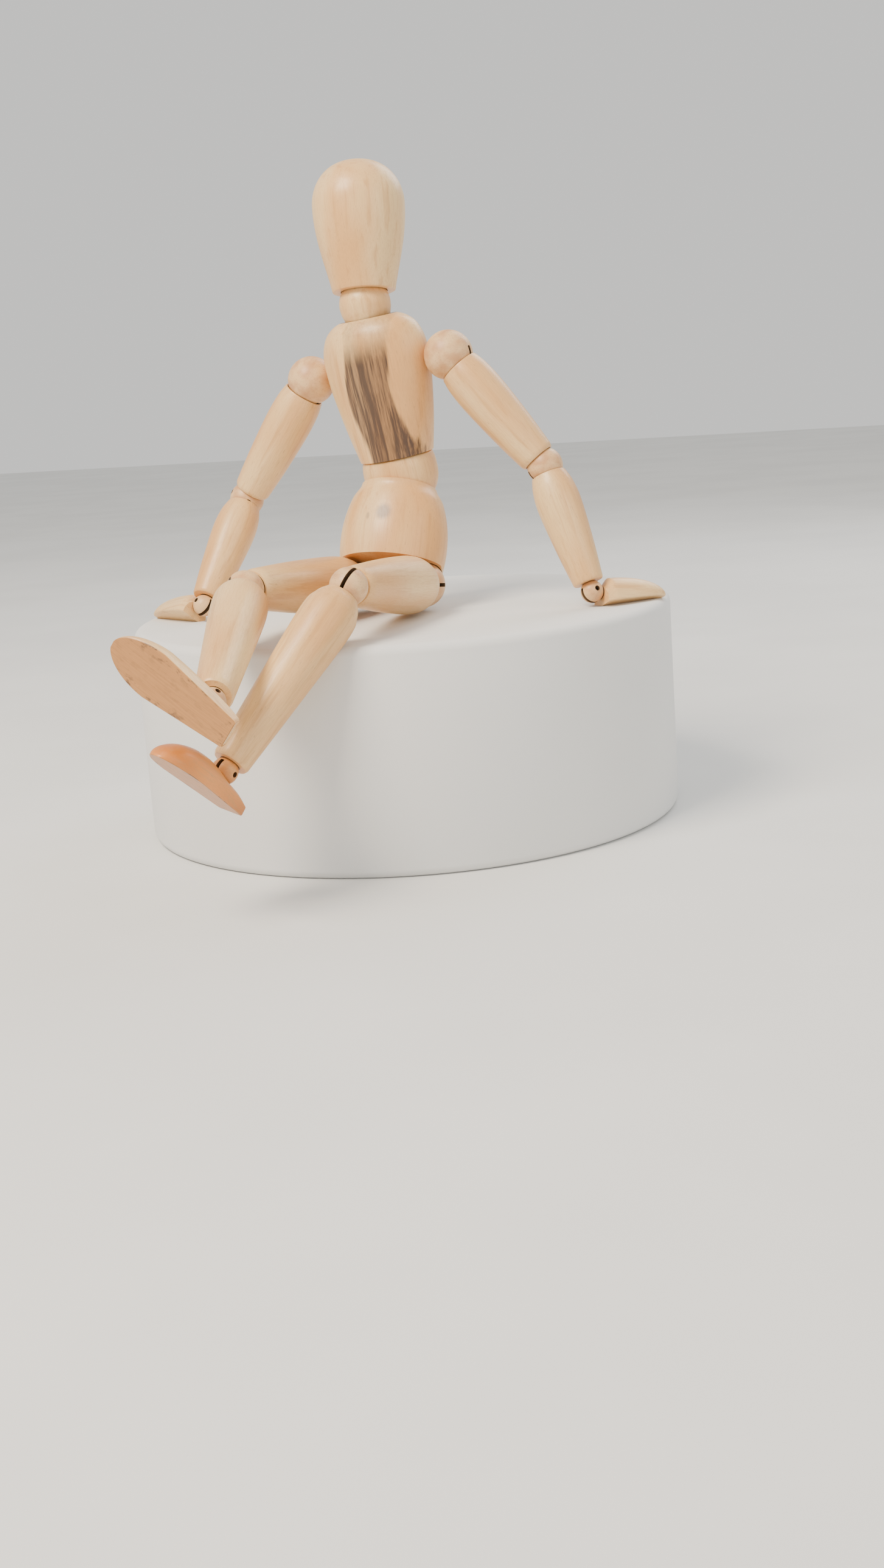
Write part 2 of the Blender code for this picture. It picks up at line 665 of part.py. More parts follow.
def make_leg(side, sign, pelvis):
    """Hip, knee and ankle, made like the arm."""
    pose = LEGS[side]
    place = (sign * HIP_HALF, 0, 0)
    swing = joint(f"{side}_hip_swing", pelvis, place, "X", pose.swing)
    ball(f"{side}_hip_ball", swing, HIP, "Y", -sign)
    thigh = joint(f"{side}_hip_spread", swing, (0, 0, 0), "Y", sign * pose.out)
    limb(f"{side}_thigh", thigh, THIGH_LENGTH, HIP, KNEE,
         [(0.08, 0.93 * THIGH_RADIUS), (0.22, THIGH_RADIUS), (0.60, 0.87 * THIGH_RADIUS)])
    limb_spring(f"{side}_thigh_spring", thigh, THIGH_LENGTH, "Y")
    turn = joint(f"{side}_knee_swivel", thigh, (0, 0, -THIGH_LENGTH), "Z", sign * pose.mid_turn)
    ball(f"{side}_knee_ball", turn, KNEE, "X", 1)
    shin = joint(f"{side}_knee_hinge", turn, (0, 0, 0), "X", pose.mid_bend)
    limb(f"{side}_shin", shin, SHIN_LENGTH, KNEE, ANKLE,
         [(0.06, 0.87 * SHIN_RADIUS), (0.17, SHIN_RADIUS), (0.60, 0.83 * SHIN_RADIUS)])
    limb_spring(f"{side}_shin_spring", shin, SHIN_LENGTH, "X")
    turn = joint(f"{side}_ankle_swivel", shin, (0, 0, -SHIN_LENGTH), "Z", sign * pose.end_turn)
    ball(f"{side}_ankle_ball", turn, ANKLE, "X", 1)
    make_foot(f"{side}_foot", joint(f"{side}_ankle_hinge", turn, (0, 0, 0), "X", pose.end_bend))


def rotation(axis, turn):
    return Matrix.Rotation(math.radians(turn), 3, AXES[axis])


def make_mannequin():
    hips = joint("pelvis_pitch", None, (0, 0, HIP_HEIGHT), "X", PELVIS_PITCH)
    pelvis = joint("pelvis_roll", hips, (0, 0, 0), "Y", PELVIS_ROLL)
    waist = make_pelvis(pelvis)
    cross_spring("hip_spring", pelvis, HIP_HALF - TAIL_GAP, 2.2)
    bend = joint("waist_bend", waist, (0, 0, 0), "X", WAIST_BEND)
    abdomen = joint("waist_lean", bend, (0, 0, 0), "Y", WAIST_LEAN)
    make_abdomen(abdomen)
    pelvis_from_abdomen = (rotation("X", WAIST_BEND) @ rotation("Y", WAIST_LEAN)).inverted()
    bent_spring("waist_spring", abdomen, pelvis_from_abdomen, 20, 26, -1)
    chest = joint("chest_twist", abdomen, (0, 0, WAIST_TO_CHEST), "Z", CHEST_TWIST)
    top, shoulders = make_chest(chest)
    cross_spring("shoulder_spring", shoulders, SHOULDER_HALF - TAIL_GAP, 8)
    neck = joint("neck_turn", top, (0, 0, CHEST_TO_NECK), "Z", NECK_TURN)
    make_neck(neck)
    nod = joint("head_nod", neck, (0, 0, 0), "X", HEAD_NOD)
    head = joint("head_lean", nod, (0, 0, 0), "Y", HEAD_LEAN)
    make_head(head)
    head_from_neck = rotation("X", HEAD_NOD) @ rotation("Y", HEAD_LEAN)
    bent_spring("neck_spring", neck, head_from_neck, 15, 20, 1)
    for side, sign in SIDES.items():
        make_arm(side, sign, shoulders)
        make_leg(side, sign, pelvis)


make_mannequin()
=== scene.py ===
"""The looks of a jointed wooden artist mannequin that sits on the edge of a plain round plinth.

Each wooden piece is turned or carved again at full fineness over its CAD node, in its own frame.
Pieces are shaped in millimetres about their own joint and then put in their place, which is worked
out from the frame's joints. A piece's frame has +Z up its length, as if the figure stood with its
arms and legs hanging, -Y to the front and +X to the figure's left.
"""

import json
import math

import bmesh
import bpy
from mathutils import Matrix, Vector

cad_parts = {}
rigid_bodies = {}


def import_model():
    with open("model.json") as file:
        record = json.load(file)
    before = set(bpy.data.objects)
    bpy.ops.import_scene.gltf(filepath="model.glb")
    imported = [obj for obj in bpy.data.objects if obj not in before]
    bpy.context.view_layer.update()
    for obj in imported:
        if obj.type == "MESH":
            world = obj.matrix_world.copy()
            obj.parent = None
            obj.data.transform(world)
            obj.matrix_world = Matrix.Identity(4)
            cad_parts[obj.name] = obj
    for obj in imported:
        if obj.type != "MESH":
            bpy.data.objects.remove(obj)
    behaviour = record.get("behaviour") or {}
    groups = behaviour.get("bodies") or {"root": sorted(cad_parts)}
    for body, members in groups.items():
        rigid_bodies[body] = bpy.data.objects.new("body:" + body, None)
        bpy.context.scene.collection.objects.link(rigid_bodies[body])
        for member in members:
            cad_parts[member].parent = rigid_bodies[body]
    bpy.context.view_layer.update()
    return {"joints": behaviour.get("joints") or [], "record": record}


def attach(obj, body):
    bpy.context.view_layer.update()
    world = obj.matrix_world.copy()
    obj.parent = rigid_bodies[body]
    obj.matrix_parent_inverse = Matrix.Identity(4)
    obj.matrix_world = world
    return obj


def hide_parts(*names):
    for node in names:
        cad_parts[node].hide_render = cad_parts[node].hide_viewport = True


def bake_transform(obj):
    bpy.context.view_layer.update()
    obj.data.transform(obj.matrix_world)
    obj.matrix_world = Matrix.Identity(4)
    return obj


MM = 0.001
SIDES = {"left": 1, "right": -1}

# Skeleton, as in the CAD model.
PELVIS_TOP = 35.0
PELVIS_TOP_TO_WAIST = 5.6
WAIST_TO_CHEST = 6.5
CHEST_LENGTH = 48.4
SHOULDER_DROP = 17.4
SHOULDER_HALF = 28.0
HIP_HALF = 12.5
CHEST_TO_NECK = 4.6
NECK_TO_HEAD = 4.4
HEAD_LENGTH = 44.5
UPPER_ARM_LENGTH = 50.5
FOREARM_LENGTH = 46.5
HAND_LENGTH = 29.0
THIGH_LENGTH = 73.0
SHIN_LENGTH = 72.5
SOLE_LENGTH = 43.0
HEEL_BACK = 11.5
ANKLE_HEIGHT = 9.0

# Girths.
HEAD_RADIUS = 16.1
HEAD_RIM_RADIUS = 11.0
HEAD_WIDEST = 0.66
NECK_RADIUS = 9.0
NECK_FOOT_RADIUS = 8.0
CHEST_WIDTH = 39.4
CHEST_DEPTH = 27.0
WAIST_RIM_RADIUS = 13.2
ABDOMEN_RADIUS = 13.3
PELVIS_WIDTH = 38.6
PELVIS_DEPTH = 34.0
UPPER_ARM_RADIUS = 8.3
FOREARM_RADIUS = 7.7
THIGH_RADIUS = 10.0
SHIN_RADIUS = 9.0
HAND_WIDTH = 11.6
HAND_DEPTH = 9.3
FOOT_WIDTH = 16.1
HEEL_WIDTH = 9.7

# Fits.
GAP = 0.3
WIRE_RADIUS = 0.35
PIN_RADIUS = 0.6
PIN_SHARE = 0.6
SLOT_WIDTH = 2 * (WIRE_RADIUS + GAP)
EYE_RADIUS = PIN_RADIUS + GAP + WIRE_RADIUS
EYE_OUTSIDE = EYE_RADIUS + WIRE_RADIUS
COIL_RADIUS = 1.4
SPRING_BORE = COIL_RADIUS + WIRE_RADIUS + GAP
WIRE_BORE = WIRE_RADIUS + GAP + 0.1
TAIL_GAP = EYE_OUTSIDE + 2 * GAP
EDGE = 0.35

# Each ball's radius, then the end rings of the pieces above and below it: distance and lip.
SHOULDER = (8.5, 0, 0, 5.6, 0.45)
ELBOW = (6.2, 3.4, 0.5, 3.4, 0.5)
WRIST = (3.9, 3.3, 2.5, 3.3, 0.8)
HIP = (8.0, 0, 0, 4.6, 0.7)
KNEE = (6.2, 3.9, 0.8, 3.9, 0.6)
ANKLE = (4.2, 2.9, 2.1, 2.6, 0.8)

# Rest turns that no joint's axis shows: the head's nod and lean, and each wrist's bend.
HEAD_TURNS = (-14, 2)
WRIST_BENDS = {"left": 75, "right": 91}

# Mesh steps.
TURNED_STEPS = 80
RING_STEPS = 96
OUTLINE_STEPS = 12

for old in list(bpy.data.objects):
    bpy.data.objects.remove(old)
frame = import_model()


# ---- Camera, floor and light ----

CAMERA_PLACE = (0.2467, -0.6052, 0.0818)
CAMERA_TOWARDS = (-0.3584, 0.9336, 0)
CAMERA_DOWN = 12.56
CAMERA_ROLL = -4.07
CAMERA_LENS = 42.48
WORLD_TINT, WORLD_STRENGTH = "#F2F1EE", 0.95
PLINTH_CENTRE = (-0.001, 0.0125)
PLINTH_RADIUS = 0.096
PLINTH_HEIGHT = 0.075
FLOOR_SIZE = 6.0


def colour(code, alpha=1.0):
    """An sRGB hex code as a linear colour."""
    parts = [int(code[i : i + 2], 16) / 255 for i in (1, 3, 5)]
    linear = [p / 12.92 if p <= 0.04045 else ((p + 0.055) / 1.055) ** 2.4 for p in parts]
    return (*linear, alpha)


def set_camera():
    ahead = Vector(CAMERA_TOWARDS).normalized() * math.cos(math.radians(CAMERA_DOWN))
    ahead.z = -math.sin(math.radians(CAMERA_DOWN))
    right = ahead.cross(Vector((0, 0, 1))).normalized()
    up = right.cross(ahead)
    turn = Matrix((right, up, -ahead)).transposed().to_4x4()
    data = bpy.data.cameras.new("camera")
    data.sensor_width = 36
    data.lens = CAMERA_LENS
    camera = bpy.data.objects.new("camera", data)
    camera.matrix_world = (
        Matrix.Translation(CAMERA_PLACE) @ turn @ Matrix.Rotation(math.radians(CAMERA_ROLL), 4, "Z")
    )
    bpy.context.scene.collection.objects.link(camera)
    bpy.context.scene.camera = camera


def stage_piece(name, bm, material):
    data = bpy.data.meshes.new(name)
    bm.to_mesh(data)
    bm.free()
    data.shade_smooth()
    data.set_sharp_from_angle(angle=math.radians(30))
    data.materials.append(material)
    piece = bpy.data.objects.new(name, data)
    bpy.context.scene.collection.objects.link(piece)


def make_stage(material):
    """A plain pale floor with a round plinth for a seat."""
    bm = bmesh.new()
    bmesh.ops.create_grid(bm, x_segments=1, y_segments=1, size=FLOOR_SIZE / 2)
    bmesh.ops.translate(bm, verts=bm.verts, vec=(0, 0, -PLINTH_HEIGHT))
    stage_piece("floor", bm, material)
    bm = bmesh.new()
    bmesh.ops.create_cone(
        bm,
        cap_ends=True,
        segments=160,
        radius1=PLINTH_RADIUS,
        radius2=PLINTH_RADIUS,
        depth=PLINTH_HEIGHT,
    )
    bmesh.ops.translate(bm, verts=bm.verts, vec=(*PLINTH_CENTRE, -PLINTH_HEIGHT / 2 - 0.0001))
    rim = [e for e in bm.edges if e.calc_face_angle(0) > 1]
    bmesh.ops.bevel(bm, geom=rim, offset=0.003, affect="EDGES", segments=5, profile=0.5, material=-1)
    stage_piece("plinth", bm, material)


def add_light(name, place, size, power, tint):
    """A square soft box that faces the figure's chest."""
    data = bpy.data.lights.new(name, "AREA")
    data.size = size
    data.energy = power
    data.color = colour(tint)[:3]
    light = bpy.data.objects.new(name, data)
    light.location = place
    light.rotation_euler = (Vector((0, 0, 0.06)) - Vector(place)).to_track_quat("-Z", "Y").to_euler()
    bpy.context.scene.collection.objects.link(light)


def make_lights():
    add_light("key_light", (-0.30, -0.70, 0.95), 0.50, 22.0, "#FFF1DE")
    add_light("fill_light", (0.95, -0.45, 0.45), 0.70, 2.0, "#FFFFFF")
    add_light("rim_light", (0.25, 0.85, 0.70), 0.60, 5.0, "#FFFFFF")
    world = bpy.data.worlds.new("studio")
    world.use_nodes = True
    background = world.node_tree.nodes["Background"]
    background.inputs["Color"].default_value = colour(WORLD_TINT)
    background.inputs["Strength"].default_value = WORLD_STRENGTH
    bpy.context.scene.world = world


# ---- Materials ----


def add(tree, kind, inputs=None, **settings):
    """Adds a shader node with its settings; each input is a value or another node's socket."""
    made = tree.nodes.new("ShaderNode" + kind)
    for name, value in settings.items():
        setattr(made, name, value)
    for name, value in (inputs or {}).items():
        if isinstance(value, bpy.types.NodeSocket):
            tree.links.new(value, made.inputs[name])
        else:
            made.inputs[name].default_value = value
    return made


def new_material(name, **surface):
    material = bpy.data.materials.new(name)
    material.use_nodes = True
    shader = material.node_tree.nodes["Principled BSDF"]
    for socket, value in surface.items():
        shader.inputs[socket.replace("_", " ").title().replace("Ior", "IOR")].default_value = value
    return material, material.node_tree, shader


def stretched(tree, across, along):
    """The piece's grain coordinates, with features this many millimetres across and along."""
    grain = add(tree, "Attribute", attribute_name="grain", attribute_type="GEOMETRY")
    scale = (1 / across, 1 / across, 1 / along)
    return add(tree, "Mapping", {"Vector": grain.outputs["Vector"], "Scale": scale}).outputs["Vector"]


def noise(tree, across, along, detail=2.0, roughness=0.5, distortion=0.0):
    return add(
        tree,
        "TexNoise",
        {
            "Vector": stretched(tree, across, along),
            "Scale": 1.0,
            "Detail": detail,
            "Roughness": roughness,
            "Distortion": distortion,
        },
    ).outputs["Fac"]


def remap(tree, value, low, high, to_low=0.0, to_high=1.0):
    """A value eased from one range into another, held at its ends."""
    made = add(tree, "MapRange", {"Value": value}, interpolation_type="SMOOTHSTEP")
    sockets = ("From Min", "From Max", "To Min", "To Max")
    for socket, number in zip(sockets, (low, high, to_low, to_high)):
        made.inputs[socket].default_value = number
    return made.outputs["Result"]


def maths(tree, operation, first, second=0.0):
    made = add(tree, "Math", operation=operation)
    for socket, value in zip(made.inputs, (first, second)):
        if isinstance(value, bpy.types.NodeSocket):
            tree.links.new(value, socket)
        else:
            socket.default_value = value
    return made.outputs["Value"]


def mix(tree, share, below, above, blend="MIX"):
    """Two colours mixed; each is a hex code or a socket."""
    made = add(tree, "Mix", data_type="RGBA", blend_type=blend)
    for socket, value in zip((made.inputs[0], made.inputs[6], made.inputs[7]), (share, below, above)):
        if isinstance(value, bpy.types.NodeSocket):
            tree.links.new(value, socket)
        else:
            socket.default_value = colour(value) if isinstance(value, str) else value
    return made.outputs[2]


def across_the_grain(tree):
    """The piece's own x, y and z, in millimetres."""
    grain = add(tree, "Attribute", attribute_name="grain", attribute_type="GEOMETRY")
    split = add(tree, "SeparateXYZ", {"Vector": grain.outputs["Vector"]})
    return split.outputs["X"], split.outputs["Y"], split.outputs["Z"]


def varnished_limewood(name, pale="#F0CB90", warm="#DFA766", mark=None):
    """Pale close-grained limewood under a satin varnish. Turning it leaves a smooth skin: what shows is
    a soft warm and pale figure along the grain, fine short fibres, and a broad soft highlight. A mark
    is a function that draws over the figure, given the tree, the figure and the fibres."""
    material, tree, shader = new_material(
        name, roughness=0.42, ior=1.5, coat_weight=0.25, coat_roughness=0.22
    )
    cloud = remap(tree, noise(tree, 16, 60), 0.32, 0.68)
    figure = mix(tree, cloud, pale, warm)
    streak = remap(tree, noise(tree, 1.7, 60, detail=3, distortion=0.4), 0.50, 0.72, 0, 0.42)
    figure = mix(tree, streak, figure, "#C48B4E")
    # Fibres are finer than this in the wood, and are drawn this coarse so that they show.
    fibre = noise(tree, 0.30, 5, detail=3, roughness=0.6)
    figure = mix(tree, remap(tree, fibre, 0.35, 0.70, 0, 0.20), figure, "#B9824A")
    pore = remap(tree, noise(tree, 0.35, 2.6, detail=1), 0.69, 0.76, 0, 0.38)
    figure = mix(tree, pore, figure, "#9C7450")
    if mark:
        figure = mark(tree, figure, fibre)
    # Painted shade: faces in sockets and bores are darkened towards dark brown, for the shade inside
    # them.
    socket = add(tree, "Attribute", attribute_name="socket", attribute_type="GEOMETRY").outputs["Fac"]
    figure = mix(tree, maths(tree, "MULTIPLY", socket, 0.80), figure, "#5B3E28")
    tree.links.new(figure, shader.inputs["Base Color"])
    tree.links.new(remap(tree, fibre, 0.3, 0.7, 0.38, 0.50), shader.inputs["Roughness"])
    turning = noise(tree, 40, 0.9, detail=2)
    turning = maths(tree, "MULTIPLY", turning, 0.7)
    height = maths(tree, "ADD", maths(tree, "MULTIPLY", fibre, 0.6), turning)
    bump = add(tree, "Bump", {"Strength": 0.22, "Distance": 0.00008, "Height": height})
    tree.links.new(bump.outputs["Normal"], shader.inputs["Normal"])
    return material


def heartwood(tree, figure, fibre):
    """A dark streak of heartwood down the front of the chest, bent like a shallow bow."""
    x, y, z = across_the_grain(tree)
    line = maths(tree, "ADD", remap(tree, z, 24, 42, 0.6, 3.6), remap(tree, z, 24, 0, 0, 4.2))
    wander = maths(tree, "MULTIPLY", maths(tree, "SUBTRACT", noise(tree, 2.2, 30, detail=4), 0.5), 5.0)
    off = maths(tree, "ABSOLUTE", maths(tree, "ADD", maths(tree, "SUBTRACT", x, line), wander))
    inside = remap(tree, off, 9.2, 7.4)
    front = remap(tree, y, 1.0, -2.0)
    rise = remap(tree, z, 43, 33, 0.25, 1.0)
    patch = maths(tree, "MULTIPLY", maths(tree, "MULTIPLY", inside, front), rise)
    bands = remap(tree, noise(tree, 1.3, 34, detail=4, roughness=0.62), 0.36, 0.58)
    dark = mix(tree, bands, "#7F5937", "#3F291B")
    dark = mix(tree, remap(tree, fibre, 0.42, 0.62, 0, 0.55), dark, "#38251A")
    strength = maths(tree, "MULTIPLY", patch, remap(tree, bands, 0, 1, 0.80, 0.96))
    return mix(tree, strength, figure, dark)


def spot(tree, x, z, place, radii, softness):
    """How far inside an oval mark a point lies, seen from the front."""
    across = maths(tree, "DIVIDE", maths(tree, "SUBTRACT", x, place[0]), radii[0])
    along = maths(tree, "DIVIDE", maths(tree, "SUBTRACT", z, place[1]), radii[1])
    across, along = (maths(tree, "MULTIPLY", part, part) for part in (across, along))
    far = maths(tree, "SQRT", maths(tree, "ADD", across, along))
    return remap(tree, far, 1 + softness, 1 - softness)


def knot_shadow(tree, figure, _):
    """A small grey knot and a fleck beside it, under the front of the pelvis's skin."""
    x, y, z = across_the_grain(tree)
    front = remap(tree, y, 0, -2)
    knot = maths(tree, "MULTIPLY", spot(tree, x, z, (1.7, 21.8), (2.5, 2.7), 0.45), front)
    figure = mix(tree, maths(tree, "MULTIPLY", knot, 0.72), figure, "#6E5744")
    fleck = maths(tree, "MULTIPLY", spot(tree, x, z, (-4.0, 20.4), (0.6, 1.3), 0.5), front)
    return mix(tree, maths(tree, "MULTIPLY", fleck, 0.5), figure, "#7E6B58")


def worn_sole(tree, figure, _, light="#C1874B", deep="#9A6432"):
    """The sawn sole is darker than the foot, and scuffed along its edges and at the heel."""
    x, height, along = across_the_grain(tree)
    sole = remap(tree, height, ANKLE_HEIGHT - 0.3, ANKLE_HEIGHT - 0.1)
    scuff = remap(tree, noise(tree, 1.6, 3.2, detail=5, roughness=0.65), 0.50, 0.64, 0, 0.8)
    saw = remap(tree, noise(tree, 0.5, 14, detail=3), 0.35, 0.7, 0, 0.35)
    under = mix(tree, saw, light, deep)
    edge = remap(tree, maths(tree, "ABSOLUTE", x), 3.8, 7.2, 0.18, 1)
    edge = maths(tree, "MAXIMUM", edge, remap(tree, along, 8.0, 11.2))
    under = mix(tree, maths(tree, "MULTIPLY", scuff, edge), under, "#46301F")
    return mix(tree, sole, figure, under)


def orange_sole(tree, figure, fibre):
    """The same sole under the darker foot."""
    return worn_sole(tree, figure, fibre, "#BE7A34", "#9E5F25")


def end_grain_limewood(name, pale="#E6BD88", deep="#CE9A68"):
    """Small balls are turned across the grain, so greyer and rosier end grain and open pores show."""
    material, tree, shader = new_material(
        name, roughness=0.46, ior=1.5, coat_weight=0.18, coat_roughness=0.28
    )
    cloud = remap(tree, noise(tree, 5, 9, detail=3), 0.35, 0.65)
    figure = mix(tree, cloud, pale, deep)
    pore = remap(tree, noise(tree, 0.32, 0.6, detail=2), 0.58, 0.72, 0, 0.5)
    figure = mix(tree, pore, figure, "#94705A")
    # Painted shade: slot, pin hole and socket faces are darkened nearly to black, for the shade inside
    # them.
    socket = add(tree, "Attribute", attribute_name="socket", attribute_type="GEOMETRY").outputs["Fac"]
    figure = mix(tree, maths(tree, "MULTIPLY", socket, 0.85), figure, "#3E2C20")
    tree.links.new(figure, shader.inputs["Base Color"])
    bump = add(tree, "Bump", {"Strength": 0.25, "Distance": 0.00006, "Height": pore}, invert=True)
    tree.links.new(bump.outputs["Normal"], shader.inputs["Normal"])
    return material


def drawn_steel(name, tone="#B9B8B4", dull="#8E8B86", roughness=0.30):
    """Spring wire drawn bright through a die, and dulled here and there by handling."""
    material, tree, shader = new_material(name, metallic=1.0, roughness=roughness)
    patch = remap(tree, noise(tree, 0.9, 2.5, detail=3), 0.40, 0.66)
    tree.links.new(mix(tree, patch, tone, dull), shader.inputs["Base Color"])
    rough = remap(tree, patch, 0, 1, roughness - 0.04, roughness + 0.14)
    tree.links.new(rough, shader.inputs["Roughness"])
    return material


def matt_paper(name):
    """A sheet of matt backdrop paper."""
    material, tree, shader = new_material(name, roughness=0.9)
    texture = add(tree, "TexCoord")
    mottle = add(tree, "TexNoise", {"Vector": texture.outputs["Object"], "Scale": 9.0, "Detail": 3.0})
    tone = mix(tree, remap(tree, mottle.outputs["Fac"], 0.3, 0.7), "#DCDCDA", "#E2E2E0")
    tree.links.new(tone, shader.inputs["Base Color"])
    return material


LIMEWOOD = varnished_limewood("varnished_limewood")
CHEST_WOOD = varnished_limewood("limewood_with_heartwood", mark=heartwood)
PELVIS_WOOD = varnished_limewood("limewood_with_knot", mark=knot_shadow)
RIGHT_FOOT_WOOD = varnished_limewood("limewood_with_sawn_sole", mark=worn_sole)
LEFT_FOOT_WOOD = varnished_limewood("orange_limewood_with_sawn_sole", "#E8923C", "#BE6C26", orange_sole)
BALL_WOOD = end_grain_limewood("end_grain_limewood")
LEFT_ANKLE_WOOD = end_grain_limewood("orange_end_grain_limewood", "#E6A864", "#CC8843")
SPRING_STEEL = drawn_steel("drawn_spring_steel")
PIN_STEEL = drawn_steel("cut_pin_steel", "#96928C", "#6A655E", 0.42)
PAPER = matt_paper("pale_backdrop_paper")


# ---- Frames ----

joints = {j["name"]: j for j in frame["joints"]}


def centre(name):
    return Vector(joints[name]["pos_m"])


def axis(name, sign=1):
    return sign * Vector(joints[name]["axis"])


def framed(origin, x=None, y=None, z=None):
    """A piece's frame from its origin and two of its axes."""
    if x is None:
        x = y.cross(z)
    elif y is None:
        y = z.cross(x)
    else:
        z = x.cross(y)
    made = Matrix((x.normalized(), y.normalized(), z.normalized())).transposed().to_4x4()
    made.translation = origin
    return made


def turned_by(where, *turns):
    """A frame turned about its own axes in order: each turn is an axis and degrees."""
    for name, degrees in turns:
        where = where @ Matrix.Rotation(math.radians(degrees), 4, name)
    return where


def shifted(where, *place):
    return where @ Matrix.Translation(Vector(place) * MM)


# ---- Shaping ----


def arc(radius, middle, start, end, steps=OUTLINE_STEPS):
    """Points (radius, height) on a circle about (0, middle), between angles above the horizontal."""
    points = []
    for i in range(steps + 1):
        angle = math.radians(start + (end - start) * i / steps)
        points.append((radius * math.cos(angle), middle + radius * math.sin(angle)))
    return points


def slope_at(radius, width):
    return math.degrees(math.acos(width / radius))


def smooth_run(points, steps=OUTLINE_STEPS):
    """A smooth run through a few points of up to four numbers: a Catmull-Rom spline."""
    ends = [points[0], *points, points[-1]]
    run = []
    for i in range(1, len(points)):
        before, a, b, after = (Vector(p) for p in ends[i - 1 : i + 3])
        for k in range(steps):
            t = k / steps
            bend = t * t * (before - 2.5 * a + 2 * b - 0.5 * after)
            swing = t * t * t * (0.5 * (after - before) + 1.5 * (a - b))
            run.append(a + 0.5 * t * (b - before) + bend + swing)
    run.append(Vector(points[-1]))
    return [tuple(p) for p in run]


def turn(outline, steps=TURNED_STEPS):
    """A solid turned about Z from a closed outline, or from one that starts and ends on the axis."""
    bm = bmesh.new()
    points = [bm.verts.new((r, 0, z)) for r, z in outline]
    edges = [bm.edges.new(pair) for pair in zip(points, points[1:])]
    if outline[0][0] > 0:
        edges.append(bm.edges.new((points[-1], points[0])))
    bmesh.ops.spin(
        bm,
        geom=points + edges,
        cent=(0, 0, 0),
        axis=(0, 0, 1),
        angle=math.tau,
        steps=steps,
        use_merge=True,
    )
    bmesh.ops.remove_doubles(bm, verts=bm.verts, dist=1e-4)
    bmesh.ops.recalc_face_normals(bm, faces=bm.faces)
    return bm


def skin(sections):
    """A solid grown through sections of points that all have the same count."""
    bm = bmesh.new()
    rings = []
    for section in sections:
        points = [bm.verts.new(p) for p in section]
        rings.append([bm.edges.new((points[i - 1], points[i])) for i in range(len(points))])
    for low, high in zip(rings, rings[1:]):
        bmesh.ops.bridge_loops(bm, edges=low + high)
    for ring in (rings[0], rings[-1]):
        bmesh.ops.edgenet_fill(bm, edges=ring)
    bmesh.ops.recalc_face_normals(bm, faces=bm.faces)
    return bm


def oval(half_width, half_depth, z):
    ring = []
    for i in range(RING_STEPS):
        angle = math.tau * (i + 0.5) / RING_STEPS
        ring.append((half_width * math.cos(angle), half_depth * math.sin(angle), z))
    return ring


def moved(bm, place):
    bmesh.ops.translate(bm, verts=bm.verts, vec=place)
    return bm


def sphere(radius, place=(0, 0, 0), steps=64):
    bm = bmesh.new()
    bmesh.ops.create_uvsphere(bm, u_segments=steps, v_segments=steps * 3 // 4, radius=radius)
    return moved(bm, place)


def rod(radius, low, high, direction="Z", steps=32):
    bm = bmesh.new()
    bmesh.ops.create_cone(
        bm, cap_ends=True, segments=steps, radius1=radius, radius2=radius, depth=high - low
    )
    moved(bm, (0, 0, (low + high) / 2))
    if direction == "X":
        bmesh.ops.rotate(bm, verts=bm.verts, matrix=Matrix.Rotation(math.radians(90), 3, "Y"))
    return bm


def block(low, high):
    low, high = Vector(low), Vector(high)
    bm = bmesh.new()
    bmesh.ops.create_cube(bm, size=1)
    bmesh.ops.scale(bm, vec=high - low, verts=bm.verts)
    return moved(bm, (low + high) / 2)


def scratch(bm):
    data = bpy.data.meshes.new("scratch")
    bm.to_mesh(data)
    bm.free()
    made = bpy.data.objects.new("scratch", data)
    bpy.context.scene.collection.objects.link(made)
    return made


def carve(bm, *cutters, join=()):
    """The solid with helpers joined to it and then cutters taken out of it."""
    body = scratch(bm)
    helpers = []
    for operation, group in (("UNION", join), ("DIFFERENCE", cutters)):
        for cutter in group:
            helper = scratch(cutter)
            helpers.append(helper)
            boolean = body.modifiers.new(operation, "BOOLEAN")
            boolean.operation = operation
            boolean.object = helper
    result = bmesh.new()
    result.from_object(body, bpy.context.evaluated_depsgraph_get())
    for helper in (body, *helpers):
        bpy.data.objects.remove(helper)
    return result


def on_ball(face, balls):
    """Whether a face lies on the inside of one of these (place, radius) hollows, which get painted
    shade.
    """
    for place, radius in balls:
        if all((v.co - Vector(place)).length < radius + 0.02 for v in face.verts):
            return True
    return False


made_count = 0


def finish(
    name, bm, where, body, nodes, material, hollows=(), inner=None, grain=None, offset=True
):
    """Puts a shaped piece in its place. Each point keeps its own place in the wood, in millimetres, for
    the grain, and each face says whether it lies in a socket, bore or slot, where painted shade goes."""
    global made_count
    made_count += 1
    shift = Vector((37.0, 61.0, 83.0)) * made_count if offset else Vector()
    grain = grain or Matrix.Identity(3)
    # Faces in sockets, bores and slots are marked here for painted shade.
    dark = []
    for face in bm.faces:
        inside = on_ball(face, hollows) or (inner and inner(face.calc_center_median()))
        dark.append(1.0 if inside else 0.0)
    spots = [c for v in bm.verts for c in grain @ v.co + shift]
    data = bpy.data.meshes.new(name)
    bm.to_mesh(data)
    bm.free()
    data.shade_smooth()
    data.set_sharp_from_angle(angle=math.radians(35))
    data.attributes.new("grain", "FLOAT_VECTOR", "POINT").data.foreach_set("vector", spots)
    data.attributes.new("socket", "FLOAT", "FACE").data.foreach_set("value", dark)
    data.transform(where @ Matrix.Scale(MM, 4))
    data.materials.append(material)
    piece = bpy.data.objects.new(name, data)
    bpy.context.scene.collection.objects.link(piece)
    if body:
        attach(piece, body)
    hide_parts(*nodes)
    return piece


# ---- Wire ----


